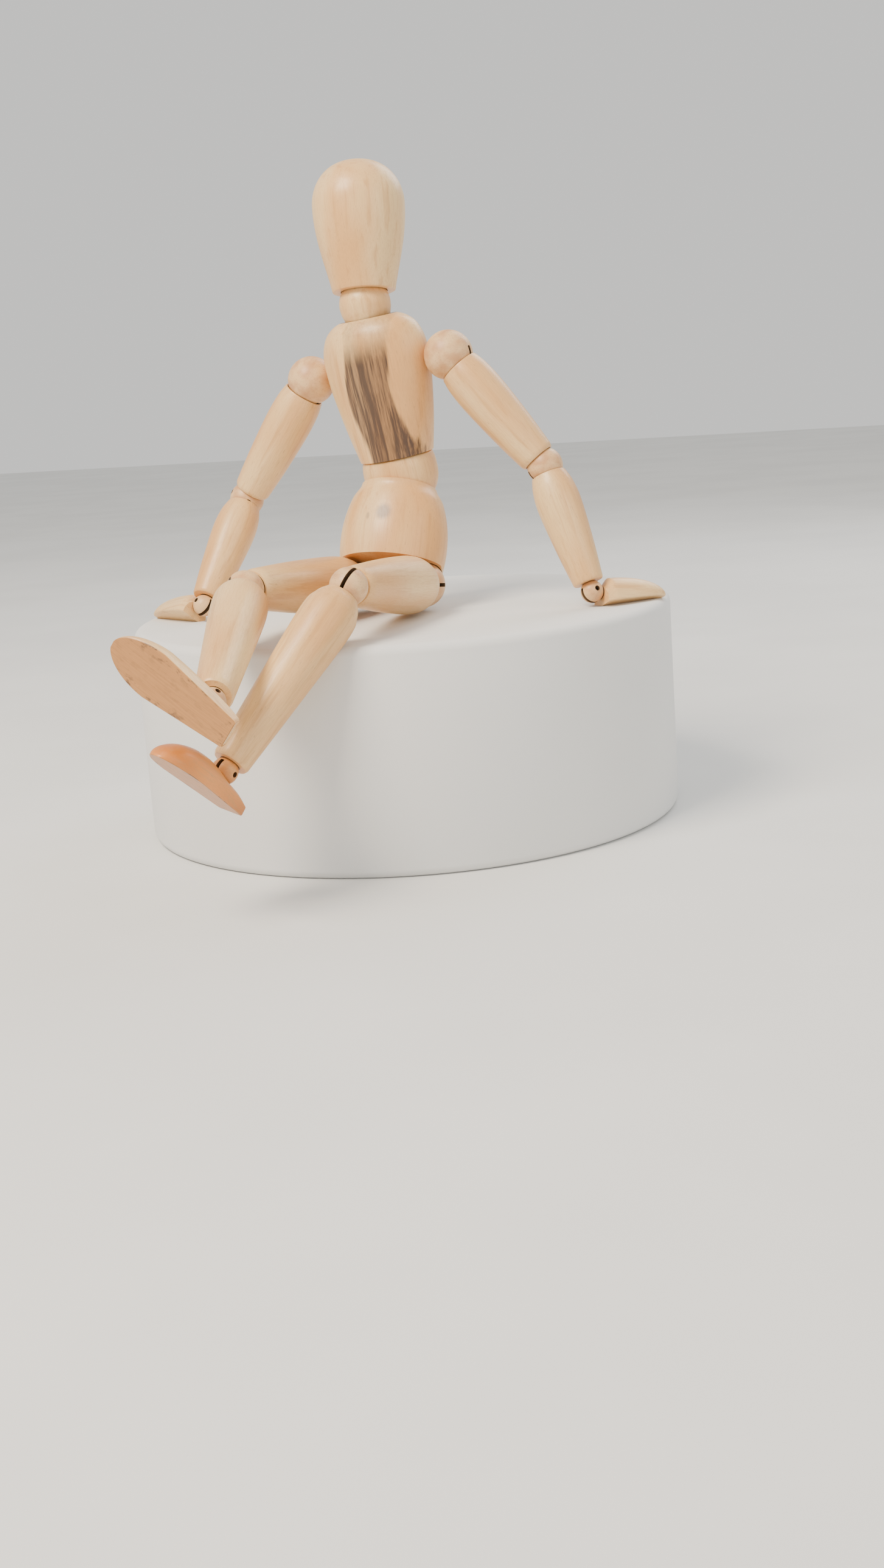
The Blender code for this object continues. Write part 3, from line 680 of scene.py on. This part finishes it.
def wire(name, points, where, body, blend_with=None):
    """A round wire through the points, in place of its CAD node."""
    data = bpy.data.curves.new(name, "CURVE")
    data.dimensions = "3D"
    data.bevel_depth = WIRE_RADIUS
    data.bevel_resolution = 2
    data.use_fill_caps = True
    spline = data.splines.new("POLY")
    spline.points.add(len(points) - 1)
    for slot, point in zip(spline.points, points):
        slot.co = (*point, 1)
    guide = bpy.data.objects.new(name + "_guide", data)
    bpy.context.scene.collection.objects.link(guide)
    graph = bpy.context.evaluated_depsgraph_get()
    bm = bmesh.new()
    bm.from_mesh(bpy.data.meshes.new_from_object(guide.evaluated_get(graph)))
    bpy.data.objects.remove(guide)
    bmesh.ops.remove_doubles(bm, verts=bm.verts, dist=1e-4)
    bmesh.ops.recalc_face_normals(bm, faces=bm.faces)
    rides = None if blend_with else body
    piece = finish(name + "_wire", bm, where, rides, [name], SPRING_STEEL)
    if blend_with:
        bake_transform(piece)


def eye(pin_axis):
    """A nearly closed eye round a pin through the origin, ending in a stem that leaves down -Z."""
    side = Vector((1, 0, 0)) if pin_axis == "Y" else Vector((0, 1, 0))
    points = []
    for i in range(25):
        angle = math.radians(-50 + 320 * i / 24)
        points.append(EYE_RADIUS * (math.cos(angle) * side + math.sin(angle) * Vector((0, 0, 1))))
    return points


def coil(low, high, turns, line=None, steps=20):
    """A helix about Z, or about a bent centre line."""
    points = []
    for i in range(turns * steps + 1):
        angle = math.tau * i / steps
        height = low + (high - low) * i / (turns * steps)
        across = Vector((COIL_RADIUS * math.cos(angle), COIL_RADIUS * math.sin(angle), 0))
        points.append((line(height) if line else Vector((0, 0, height))) + across)
    return points


def limb_spring(name, where, body, length, pin_axis):
    top, bottom = -0.34 * length, -0.62 * length
    points = eye(pin_axis)
    points.append(Vector((0, 0, top + 2)))
    points += coil(top, bottom, 9)
    points += [Vector((0, 0, bottom - 2)), Vector((0, 0, TAIL_GAP - length))]
    wire(name, points, where, body)


def hook(name, where, body, depth):
    wire(name, [*eye("X"), Vector((0, 0, -depth))], where, body)


def cross_spring(name, where, body, half, coil_half):
    """A straight spring from ball to ball across the trunk."""
    points = [Vector((0, 0, -half)), Vector((0, 0, -coil_half - 1.5))]
    points += coil(-coil_half, coil_half, 9)
    points += [Vector((0, 0, coil_half + 1.5)), Vector((0, 0, half))]
    wire(name, points, turned_by(where, ("Y", 90)), body)


def bent_spring(name, where, body, other, turn_there, length_here, length_there, towards):
    """A coil through a trunk joint, bent from this piece's line to its neighbour's."""
    near_axis = Vector((0, 0, towards))
    far_axis = turn_there @ near_axis
    leaves = 0.40 * length_there
    stops = [
        near_axis * leaves,
        near_axis * 0.62 * length_there,
        far_axis * 0.70 * length_there,
        far_axis * length_there,
    ]

    def line(height):
        along = height * towards
        if along <= leaves:
            return Vector((0, 0, height))
        t = (along - leaves) / (length_there - leaves)
        a, b, c, d = stops
        return (1 - t) ** 3 * a + 3 * t * (1 - t) ** 2 * b + 3 * t * t * (1 - t) * c + t**3 * d

    points = coil(-towards * length_here, towards * length_there, 22, line, steps=16)
    wire(name, points, where, body, other)


# ---- Balls and pins ----


def ball(name, where, size, pin_axis, wire_side=1, material=None):
    """A slotted ball with its cross pin, which is driven in from the back or the right. Its hole stops
    short of the other side, but runs right through the small balls of the wrists and ankles."""
    radius = size[0]
    reach = 1.3 * radius
    head = EYE_OUTSIDE + GAP
    if pin_axis == "X":
        slot = block((-SLOT_WIDTH / 2, -reach, -reach), (SLOT_WIDTH / 2, reach, head))
        hole = rod(WIRE_BORE, head - 1, reach)
        turn_pin = Matrix.Rotation(math.radians(90), 3, "Y")
    else:
        near, far = wire_side * head, -wire_side * reach
        slot = block((min(near, far), -SLOT_WIDTH / 2, -reach), (max(near, far), SLOT_WIDTH / 2, head))
        hole = rod(WIRE_BORE, *sorted((wire_side * (head - 1), wire_side * reach)), "X")
        turn_pin = Matrix.Rotation(math.radians(90), 3, "X")
    closed_end = reach if radius < 5 else PIN_SHARE * radius + GAP
    pin_hole = rod(PIN_RADIUS + GAP, -reach, closed_end)
    bmesh.ops.rotate(pin_hole, verts=pin_hole.verts, matrix=turn_pin)
    shape = carve(sphere(radius), slot, hole, pin_hole)
    # Faces under the ball's skin, the slot and pin hole walls, are marked for painted shade.
    skin_depth = radius - 0.25
    finish(
        name + "_turned",
        shape,
        where,
        name,
        [name],
        material or BALL_WOOD,
        inner=lambda c: c.length < skin_depth,
        grain=turn_pin,
    )
    half = PIN_SHARE * radius
    pin = rod(PIN_RADIUS, -half, half, steps=24)
    rims = [e for e in pin.edges if e.calc_face_angle(0) > 1]
    bmesh.ops.bevel(pin, geom=rims, offset=0.15, affect="EDGES", segments=2, profile=0.5, material=-1)
    bmesh.ops.rotate(pin, verts=pin.verts, matrix=turn_pin)
    pin_node = name.replace("_ball", "_pin")
    finish(pin_node + "_cut", pin, where, name, [pin_node], PIN_STEEL)


# ---- Limbs ----


def ring_radius(size, below):
    """The outer radius of a limb's end ring: the socket's mouth and the lip round it."""
    distance, lip = size[3:5] if below else size[1:3]
    return math.sqrt((size[0] + GAP) ** 2 - distance**2) + lip


def limb(name, where, length, upper, lower, belly, chamfer):
    """A turned limb with a socket at each end, a small rounded edge above and a chamfer below."""
    top, bottom = -upper[3], lower[1] - length
    tall = top - bottom
    upper_ring, lower_ring = ring_radius(upper, True), ring_radius(lower, False)
    width, rise = chamfer
    outer = [
        (EDGE / tall, upper_ring),
        *belly,
        (1 - width / tall, lower_ring + rise),
    ]
    outline = [(upper_ring - EDGE, top), (upper_ring - 0.3 * EDGE, top - 0.3 * EDGE)]
    outline += [(r, top - share * tall) for share, r in smooth_run(outer)]
    outline += [(lower_ring, bottom + 0.2), (lower_ring - 0.2, bottom)]
    seat = lower[0] + GAP
    outline += arc(seat, -length, math.degrees(math.asin(lower[1] / seat)), slope_at(seat, SPRING_BORE))
    seat = upper[0] + GAP
    outline += arc(seat, 0, -slope_at(seat, SPRING_BORE), -math.degrees(math.asin(upper[3] / seat)))
    # Socket and spring bore faces are marked for painted shade.
    hollows = [((0, 0, 0), upper[0] + GAP), ((0, 0, -length), lower[0] + GAP)]
    bore = SPRING_BORE + 0.01
    finish(
        name + "_turned",
        turn(outline),
        where,
        name,
        [name],
        LIMEWOOD,
        hollows,
        inner=lambda c: Vector((c.x, c.y)).length < bore,
    )


# ---- Trunk ----


def dome(rim_radius, height, inner=0.0, rise=3.0):
    radius = (rim_radius**2 + rise**2) / (2 * rise)
    return arc(radius, height + rise - radius, slope_at(radius, rim_radius), slope_at(radius, inner))


def make_pelvis(where):
    """An egg with a socket on top, a flat underside over the thighs and a web between the hip balls."""
    middle, tall, low = 14.0, 30.0, -8.0
    sections = []
    rings = 44
    for i in range(rings + 1):
        z = low + (PELVIS_TOP - low) * i / rings
        share = math.sqrt(1 - ((z - middle) / tall) ** 2)
        ease = max(0.0, (z - 30) / (PELVIS_TOP - 30)) ** 2
        width = PELVIS_WIDTH / 2 * share
        depth = PELVIS_DEPTH / 2 * share
        sections.append(
            oval(width + (ABDOMEN_RADIUS - width) * ease, depth + (ABDOMEN_RADIUS - depth) * ease, z)
        )
    underside = 6.8
    front_rise, back_fall, far = 0.03, 0.65, 40.0
    side = [
        (-far, underside + front_rise * far),
        (-far, -far),
        (far, -far),
        (far, underside - back_fall * far),
        (0, underside),
    ]
    cutter = bmesh.new()
    face = cutter.faces.new([cutter.verts.new((-far, y, z)) for y, z in side])
    grown = bmesh.ops.extrude_face_region(cutter, geom=[face])["geom"]
    end = [v for v in grown if isinstance(v, bmesh.types.BMVert)]
    bmesh.ops.translate(cutter, verts=end, vec=(2 * far, 0, 0))
    bmesh.ops.recalc_face_normals(cutter, faces=cutter.faces)
    body = carve(skin(sections), cutter)
    web_half = HIP_HALF - HIP[0] - 4 * GAP
    web = moved(rod(6.6, -web_half, web_half, "X", 48), (0, 0, 1.5))
    waist = PELVIS_TOP + PELVIS_TOP_TO_WAIST
    mouth, deep = 9.3, 27.0
    outline = [(0, -8), (mouth, -8), (SPRING_BORE, -deep), (0, -deep)]
    seats = [sphere(HIP[0] + GAP, (sign * HIP_HALF, 0, 0)) for sign in SIDES.values()]
    shape = carve(
        body,
        *seats,
        rod(SPRING_BORE, -10, 10, "X"),
        sphere(ABDOMEN_RADIUS + GAP, (0, 0, waist), RING_STEPS),
        moved(turn(outline, 48), (0, 0, waist)),
        join=[web],
    )
    hollows = [((sign * HIP_HALF, 0, 0), HIP[0] + GAP) for sign in SIDES.values()]
    hollows.append(((0, 0, waist), ABDOMEN_RADIUS + GAP))
    finish(
        "pelvis_carved",
        shape,
        where,
        "pelvis",
        ["pelvis"],
        PELVIS_WOOD,
        hollows,
        offset=False,
    )


def make_abdomen(where):
    """A barrel: a round underside that rocks in the pelvis, a low dome that turns in the chest."""
    seam = WAIST_TO_CHEST - GAP
    seam_radius = WAIST_RIM_RADIUS - 0.5
    outline = dome(seam_radius - EDGE, seam, SPRING_BORE + GAP)[::-1]
    side = [(seam_radius, seam - EDGE), (ABDOMEN_RADIUS - 0.1, seam / 2), (ABDOMEN_RADIUS, 0)]
    outline += smooth_run(side, 6)
    outline += arc(ABDOMEN_RADIUS, 0, -4, -slope_at(ABDOMEN_RADIUS, SPRING_BORE + GAP), 24)
    shape = turn(outline, RING_STEPS)
    finish("abdomen_turned", shape, where, "abdomen", ["abdomen"], LIMEWOOD)


def make_chest(where):
    """A tapering oval block with rounded shoulders, dished for the shoulder balls and the neck."""
    half_width, half_depth = CHEST_WIDTH / 2, CHEST_DEPTH / 2
    stations = [
        (1.0, WAIST_RIM_RADIUS / half_width, WAIST_RIM_RADIUS / half_depth),
        (0.80, 0.81, 0.97),
        (0.63, 0.90, 0.98),
        (0.46, 0.97, 1.0),
        (0.32, 1.0, 1.0),
        (0.21, 0.99, 0.97),
        (0.13, 0.93, 0.92),
        (0.07, 0.84, 0.84),
        (0.025, 0.70, 0.72),
        (0.0, 0.55, 0.62),
    ]
    sections = []
    for drop, width, depth in smooth_run(stations, 6):
        sections.append(oval(half_width * width, half_depth * depth, CHEST_LENGTH * (1 - drop)))
    seam_radius = WAIST_RIM_RADIUS - 0.5
    waist = turn([(0, -2), (seam_radius, -2), *dome(seam_radius, 0)], RING_STEPS)
    neck_radius = NECK_FOOT_RADIUS + GAP
    neck = turn([(0, 2), (neck_radius, 2), (neck_radius, -2.8), (0, -2.8)], 64)
    level = CHEST_LENGTH - SHOULDER_DROP
    seats = [sphere(SHOULDER[0] + GAP, (sign * SHOULDER_HALF, 0, level)) for sign in SIDES.values()]
    shape = carve(
        skin(sections),
        waist,
        rod(SPRING_BORE, 1, 20),
        moved(neck, (0, 0, CHEST_LENGTH)),
        rod(SPRING_BORE, CHEST_LENGTH - 12, CHEST_LENGTH + 1),
        moved(rod(SPRING_BORE, -CHEST_WIDTH, CHEST_WIDTH, "X"), (0, 0, level)),
        *seats,
    )
    finish(
        "chest_carved",
        shape,
        where,
        "chest",
        ["chest"],
        CHEST_WOOD,
        inner=lambda c: c.z > CHEST_LENGTH - 3 and Vector((c.x, c.y)).length < neck_radius + 0.02,
        offset=False,
    )


def make_neck(where):
    foot = -CHEST_TO_NECK
    outline = arc(NECK_RADIUS, 0, slope_at(NECK_RADIUS, SPRING_BORE), 0, 24)
    sides = [(NECK_RADIUS, 0), (NECK_RADIUS * 0.97, foot * 0.5), (NECK_FOOT_RADIUS, foot)]
    outline += smooth_run(sides, 6)[1:]
    outline += [(NECK_FOOT_RADIUS - 0.6, foot - 2.5), (SPRING_BORE, foot - 2.5)]
    finish("neck_turned", turn(outline), where, "neck", ["neck"], LIMEWOOD)


def make_head(where):
    """An egg, widest in its upper part and cut flat below round its socket."""
    widest = HEAD_WIDEST * HEAD_LENGTH
    steps = 36
    outline = []
    for i in range(steps + 1):
        angle = math.radians(90 * i / steps)
        height = widest + (HEAD_LENGTH - widest) * math.cos(angle)
        outline.append((HEAD_RADIUS * math.sin(angle) ** 0.85, height))
    for i in range(1, steps):
        share = 1 - i / steps
        swell = math.sin(math.radians(90) * share) ** 1.2
        outline.append((HEAD_RIM_RADIUS + (HEAD_RADIUS - HEAD_RIM_RADIUS) * swell, widest * share))
    for inward, up in ((0, EDGE), (0.3 * EDGE, 0.3 * EDGE), (EDGE, 0)):
        outline.append((HEAD_RIM_RADIUS - inward, up))
    seat = NECK_RADIUS + GAP
    outline += arc(seat, -NECK_TO_HEAD, math.degrees(math.asin(NECK_TO_HEAD / seat)), 65)
    outline += [(SPRING_BORE, 20), (0, 20)]
    hollows = [((0, 0, -NECK_TO_HEAD), seat)]
    place = shifted(where, 0, 0, NECK_TO_HEAD)
    shape = turn(outline, RING_STEPS)
    finish("head_turned", shape, place, "head", ["head"], LIMEWOOD, hollows)


# ---- Hands and feet ----


def half_ring(half, low, side, top, place, inset=0.3):
    """A section with a flat underside, upright sides and a domed top; place puts (across, up) in it."""
    ring = [(half - inset, low), (half, low + inset)]
    arch = 28
    for i in range(arch + 1):
        angle = math.pi * i / arch
        ring.append((half * math.cos(angle), low + side + (top - side) * math.sin(angle)))
    ring += [(-half, low + inset), (inset - half, low)]
    flat = 8
    ring += [((half - inset) * (2 * i / flat - 1), low) for i in range(1, flat)]
    return [place(across, up) for across, up in ring]


def make_hand(name, where):
    """Half an egg: a flat palm, a domed back and a chamfered end round the wrist ball."""
    start, chamfer, palm_near, palm_far = WRIST[3], 3.2, 4.9, 1.0
    sections = []
    near_end = 0.12
    shares = [i / 8 * near_end for i in range(8)]
    shares += [near_end + 0.86 * math.sin(i / 30 * math.pi / 2) for i in range(31)]
    for share in shares:
        along = start + (HAND_LENGTH - start) * share
        girth = math.sqrt(1 - share**2)
        palm = -palm_near + (palm_near - palm_far) * share
        ease = max(0.0, 1 - share / near_end)
        height = HAND_DEPTH * girth - chamfer * ease
        half = HAND_WIDTH / 2 * girth**0.9 * (1 - 0.12 * ease)
        inset = min(0.3, 0.3 * half)
        sections.append(
            half_ring(half, palm, 0.8, height, lambda x, up, along=along: (x, up, -along), inset)
        )
    seat = WRIST[0] + GAP
    shape = carve(skin(sections), sphere(seat), rod(WIRE_BORE, -10.5, 0))
    finish(
        name + "_carved", shape, where, name, [name], LIMEWOOD, [((0, 0, 0), seat)]
    )
    hook(name + "_hook", where, name, 10)


def make_foot(name, where, material):
    """A flat sole with a round toe and a square heel, and a domed instep hollowed for the ball."""
    widest = 0.36
    stations = [
        (0.004, 0.7, 0.4),
        (0.03, 2.8, 0.85),
        (0.07, 4.6, 1.0),
        (0.16, 6.8, 1.2),
        (0.27, 8.2, 1.4),
        (widest, 8.7, 1.6),
        (0.48, 8.7, 2.2),
        (0.60, 7.8, 3.0),
        (0.72, 6.6, 3.6),
        (0.86, 5.6, 3.6),
        (0.992, 3.75, 2.7),
        (1.0, 3.3, 2.4),
    ]
    sections = []
    for share, top, side in smooth_run(stations, 5):
        if share < widest:
            half = FOOT_WIDTH / 2 * math.sqrt(1 - (1 - share / widest) ** 2)
        else:
            half = FOOT_WIDTH / 2 + (HEEL_WIDTH - FOOT_WIDTH) / 2 * (share - widest) / (1 - widest)
        if share > 0.992:
            half -= 0.3
        y = HEEL_BACK - SOLE_LENGTH * (1 - share)
        inset = min(0.3, 0.3 * side)
        sections.append(half_ring(half, -ANKLE_HEIGHT, side, top, lambda x, up, y=y: (x, y, up), inset))
    seat = ANKLE[0] + GAP
    shape = carve(skin(sections), sphere(seat), rod(WIRE_BORE, -7.5, 0))
    lengthways = Matrix(((1, 0, 0), (0, 0, -1), (0, 1, 0)))
    finish(
        name + "_carved",
        shape,
        where,
        name,
        [name],
        material,
        [((0, 0, 0), seat)],
        grain=lengthways,
        offset=False,
    )
    hook(name + "_hook", where, name, 7.2)


# ---- The figure ----


def make_trunk():
    hips = (centre("left_hip_swing") + centre("right_hip_swing")) / 2
    pelvis = framed(hips, x=axis("left_hip_swing", -1), z=centre("waist_bend") - hips)
    chest = framed(centre("chest_twist"), x=axis("left_shoulder_swing", -1), z=axis("chest_twist"))
    abdomen = shifted(chest, 0, 0, -WAIST_TO_CHEST)
    neck = framed(centre("head_nod"), x=axis("head_nod"), z=axis("neck_turn"))
    head = turned_by(neck, ("X", HEAD_TURNS[0]), ("Y", HEAD_TURNS[1]))
    make_pelvis(pelvis)
    make_abdomen(abdomen)
    make_chest(chest)
    make_neck(neck)
    make_head(head)
    cross_spring("hip_spring", pelvis, "pelvis", HIP_HALF - TAIL_GAP, 2.2)
    shoulders = shifted(chest, 0, 0, CHEST_LENGTH - SHOULDER_DROP)
    cross_spring("shoulder_spring", shoulders, "chest", SHOULDER_HALF - TAIL_GAP, 8)
    to_pelvis = (abdomen.inverted() @ pelvis).to_3x3()
    bent_spring("waist_spring", abdomen, "abdomen", "pelvis", to_pelvis, 20, 26, -1)
    to_head = (neck.inverted() @ head).to_3x3()
    bent_spring("neck_spring", neck, "neck", "head", to_head, 15, 20, 1)


def make_arm(side, sign):
    swing, lift = f"{side}_shoulder_swing", f"{side}_arm_raise"
    ball_frame = framed(centre(swing), x=axis(swing, -1), y=axis(lift, -sign))
    ball(f"{side}_shoulder_ball", ball_frame, SHOULDER, "Y", -sign)
    swivel, hinge = f"{side}_elbow_swivel", f"{side}_elbow_hinge"
    upper = framed(centre(lift), y=axis(lift, -sign), z=axis(swivel, sign))
    limb(f"{side}_upper_arm", upper, UPPER_ARM_LENGTH, SHOULDER, ELBOW,
         [(0.12, 0.97 * UPPER_ARM_RADIUS), (0.32, UPPER_ARM_RADIUS), (0.68, 0.91 * UPPER_ARM_RADIUS)],
         (1.2, 0.45))
    limb_spring(f"{side}_upper_arm_spring", upper, f"{side}_upper_arm", UPPER_ARM_LENGTH, "Y")
    elbow = framed(centre(hinge), x=axis(hinge, -1), z=axis(swivel, sign))
    ball(f"{side}_elbow_ball", elbow, ELBOW, "X")
    swivel = f"{side}_wrist_swivel"
    fore = framed(centre(hinge), x=axis(hinge, -1), z=axis(swivel, sign))
    limb(f"{side}_forearm", fore, FOREARM_LENGTH, ELBOW, WRIST,
         [(0.12, 0.94 * FOREARM_RADIUS), (0.30, FOREARM_RADIUS), (0.66, 0.87 * FOREARM_RADIUS)],
         (0.5, 0.2))
    limb_spring(f"{side}_forearm_spring", fore, f"{side}_forearm", FOREARM_LENGTH, "X")
    hinge = f"{side}_wrist_hinge"
    wrist = framed(centre(hinge), x=axis(hinge), z=axis(swivel, sign))
    ball(f"{side}_wrist_ball", wrist, WRIST, "X")
    make_hand(f"{side}_hand", turned_by(wrist, ("X", WRIST_BENDS[side])))


def make_leg(side, sign):
    swing, spread = f"{side}_hip_swing", f"{side}_hip_spread"
    ball_frame = framed(centre(swing), x=axis(swing, -1), y=axis(spread, -sign))
    ball(f"{side}_hip_ball", ball_frame, HIP, "Y", -sign)
    swivel, hinge = f"{side}_knee_swivel", f"{side}_knee_hinge"
    thigh = framed(centre(spread), y=axis(spread, -sign), z=axis(swivel, sign))
    limb(f"{side}_thigh", thigh, THIGH_LENGTH, HIP, KNEE,
         [(0.08, 0.93 * THIGH_RADIUS), (0.22, THIGH_RADIUS), (0.60, 0.87 * THIGH_RADIUS)], (2.4, 0.75))
    limb_spring(f"{side}_thigh_spring", thigh, f"{side}_thigh", THIGH_LENGTH, "Y")
    knee = framed(centre(hinge), x=axis(hinge), z=axis(swivel, sign))
    ball(f"{side}_knee_ball", knee, KNEE, "X")
    swivel = f"{side}_ankle_swivel"
    shin = framed(centre(hinge), x=axis(hinge), z=axis(swivel, sign))
    limb(f"{side}_shin", shin, SHIN_LENGTH, KNEE, ANKLE,
         [(0.06, 0.87 * SHIN_RADIUS), (0.17, SHIN_RADIUS), (0.60, 0.83 * SHIN_RADIUS)], (1.0, 0.4))
    limb_spring(f"{side}_shin_spring", shin, f"{side}_shin", SHIN_LENGTH, "X")
    hinge = f"{side}_ankle_hinge"
    ankle = framed(centre(hinge), x=axis(hinge), z=axis(swivel, sign))
    ball(f"{side}_ankle_ball", ankle, ANKLE, "X", material=LEFT_ANKLE_WOOD if side == "left" else None)
    sole = next(m for m in frame["record"]["mounts"] if m["name"] == f"{side}_sole")
    foot = framed(centre(hinge), x=axis(hinge), z=-Vector(sole["axis"]))
    make_foot(f"{side}_foot", foot, LEFT_FOOT_WOOD if side == "left" else RIGHT_FOOT_WOOD)


set_camera()
make_stage(PAPER)
make_lights()
make_trunk()
for side, sign in SIDES.items():
    make_arm(side, sign)
    make_leg(side, sign)
